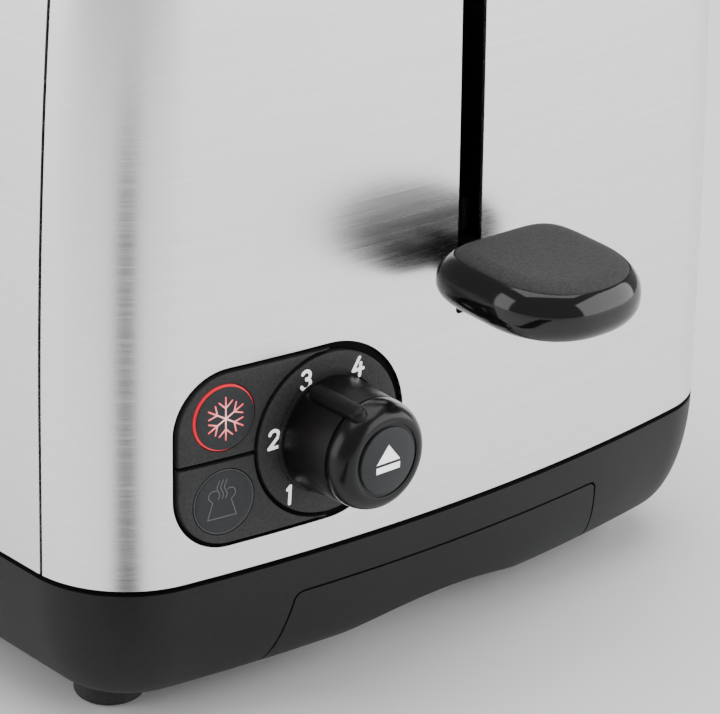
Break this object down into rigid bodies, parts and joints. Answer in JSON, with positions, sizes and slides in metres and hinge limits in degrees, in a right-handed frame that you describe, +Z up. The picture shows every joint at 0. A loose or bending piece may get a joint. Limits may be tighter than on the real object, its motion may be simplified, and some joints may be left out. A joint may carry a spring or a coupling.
{
  "type": "pop up toaster",
  "caption": "Two-slot pop up toaster with brushed steel body, black base, lever carriage, browning dial, push buttons, self-centring bread guards and crumb tray.",
  "frame": {"origin": "on the table under the middle of the overall box, from the lever's tip to the rear panel", "axes": "+Z up, -Y out of the lever and control end, +X to the right of someone facing the controls"},
  "size_m": [0.1802, 0.3259, 0.195],
  "materials": {
    "brushed_steel_shell": "brushed along the body, clear lacquered",
    "black_base_plastic": "fine moulded grain",
    "black_inner_frame": "black paint",
    "foot_rubber": "matt",
    "control_plate_plastic": "fine moulded grain",
    "dial_black": "fine moulded grain",
    "gloss_black": "polished",
    "soft_touch_grey": "soft touch",
    "button_grey": "satin",
    "red_light_guide": "clear, lit red",
    "clear_light_guide": "clear, unlit",
    "zinc_steel": "zinc plated sheet",
    "bright_steel": "bright drawn wire",
    "mica_board": "pressed mica",
    "nichrome": "heat-stained resistance ribbon",
    "circuit_board": "lacquered laminate",
    "switch_plastic": "moulded",
    "winding_copper": "enamelled copper wire",
    "core_steel": "stacked steel laminations",
    "bush_plastic": "heat-resistant nylon",
    "terminal_white": "moulded"
  },
  "bodies": {
    "housing": {"base_moulding": "black_base_plastic", "board_screws": "bright_steel", "centre_heater_board": "mica_board", "centre_heating_element": "nichrome", "chassis_screws": "bright_steel", "control_bezel": "control_plate_plastic", "control_board": "circuit_board", "cord_gland": "foot_rubber", "defrost_button_plate": "control_plate_plastic", "dial_potentiometer": "switch_plastic", "electromagnet_coil": "winding_copper", "electromagnet_core": "core_steel", "front_chassis_plate": "zinc_steel", "front_end_panel": "brushed_steel_shell", "front_seam_frame": "black_inner_frame", "guide_rods": "bright_steel", "left_heater_board": "mica_board", "left_heating_element": "nichrome", "left_reflector": "zinc_steel", "left_slot_collar": "zinc_steel", "mains_switch": "switch_plastic", "number_ring": "control_plate_plastic", "outer_cover": "brushed_steel_shell", "push_switches": "switch_plastic", "rear_chassis_plate": "zinc_steel", "rear_end_panel": "brushed_steel_shell", "rear_seam_frame": "black_inner_frame", "reheat_button_plate": "control_plate_plastic", "return_springs": "bright_steel", "right_heater_board": "mica_board", "right_heating_element": "nichrome", "right_reflector": "zinc_steel", "right_slot_collar": "zinc_steel", "rod_foot_bracket": "zinc_steel", "rod_top_bracket": "zinc_steel", "rubber_feet": "foot_rubber", "terminal_block": "terminal_white"},
    "carriage": {"lever_handle": "gloss_black", "lever_inlay": "soft_touch_grey", "lever_arm": "black_inner_frame", "carriage_bracket": "zinc_steel", "guide_bushes": "bush_plastic", "keeper_plate": "zinc_steel", "left_bread_rack": "zinc_steel", "right_bread_rack": "zinc_steel"},
    "browning_dial": {"dial_knob": "dial_black", "dial_rim": "gloss_black", "dial_pointer": "gloss_black"},
    "cancel_button": {"cancel_button": "button_grey"},
    "defrost_button": {"defrost_button": "button_grey", "defrost_light_ring": "red_light_guide"},
    "reheat_button": {"reheat_button": "button_grey", "reheat_light_ring": "clear_light_guide"},
    "crumb_tray": {"crumb_tray_handle": "black_base_plastic", "crumb_tray_pan": "zinc_steel"},
    "left_outer_guard": {"left_outer_bread_guard": "bright_steel"},
    "left_inner_guard": {"left_inner_bread_guard": "bright_steel"},
    "right_outer_guard": {"right_outer_bread_guard": "bright_steel"},
    "right_inner_guard": {"right_inner_bread_guard": "bright_steel"}
  },
  "joints": [
    {"name": "carriage_slide", "type": "slide", "parent": "housing", "child": "carriage", "axis": [0, 0, 1], "range_m": [0, 0.068], "deforming": ["return_springs"]},
    {"name": "browning_dial_turn", "type": "hinge", "parent": "housing", "child": "browning_dial", "pos_m": [-0.0365, -0.123, 0.0613], "axis": [0, 1, 0], "range_deg": [-110, 165]},
    {"name": "cancel_button_press", "type": "slide", "parent": "housing", "child": "cancel_button", "axis": [0, 1, 0], "range_m": [0, 0.002], "stiffness_N_per_m": 300, "springref_m": -0.003},
    {"name": "defrost_button_press", "type": "slide", "parent": "housing", "child": "defrost_button", "axis": [0, 1, 0], "range_m": [0, 0.0015], "stiffness_N_per_m": 300, "springref_m": -0.003},
    {"name": "reheat_button_press", "type": "slide", "parent": "housing", "child": "reheat_button", "axis": [0, 1, 0], "range_m": [0, 0.0015], "stiffness_N_per_m": 300, "springref_m": -0.003},
    {"name": "crumb_tray_pull", "type": "slide", "parent": "housing", "child": "crumb_tray", "axis": [0, -1, 0], "range_m": [0, 0.2]},
    {"name": "left_outer_guard_swing", "type": "hinge", "parent": "housing", "child": "left_outer_guard", "pos_m": [-0.0435, 0.0265, 0.05], "axis": [0, -1, 0], "range_deg": [0, 3.7]},
    {"name": "left_inner_guard_swing", "type": "hinge", "parent": "housing", "child": "left_inner_guard", "pos_m": [-0.0145, 0.0265, 0.05], "axis": [0, 1, 0], "range_deg": [0, 3.7]},
    {"name": "right_outer_guard_swing", "type": "hinge", "parent": "housing", "child": "right_outer_guard", "pos_m": [0.0435, 0.0265, 0.05], "axis": [0, 1, 0], "range_deg": [0, 3.7]},
    {"name": "right_inner_guard_swing", "type": "hinge", "parent": "housing", "child": "right_inner_guard", "pos_m": [0.0145, 0.0265, 0.05], "axis": [0, -1, 0], "range_deg": [0, 3.7]}
  ],
  "couplings": [
    {"joint": "left_outer_guard_swing", "follows": "carriage_slide", "rad_per_m": 0.924},
    {"joint": "left_inner_guard_swing", "follows": "carriage_slide", "rad_per_m": 0.924},
    {"joint": "right_outer_guard_swing", "follows": "carriage_slide", "rad_per_m": 0.924},
    {"joint": "right_inner_guard_swing", "follows": "carriage_slide", "rad_per_m": 0.924}
  ]
}
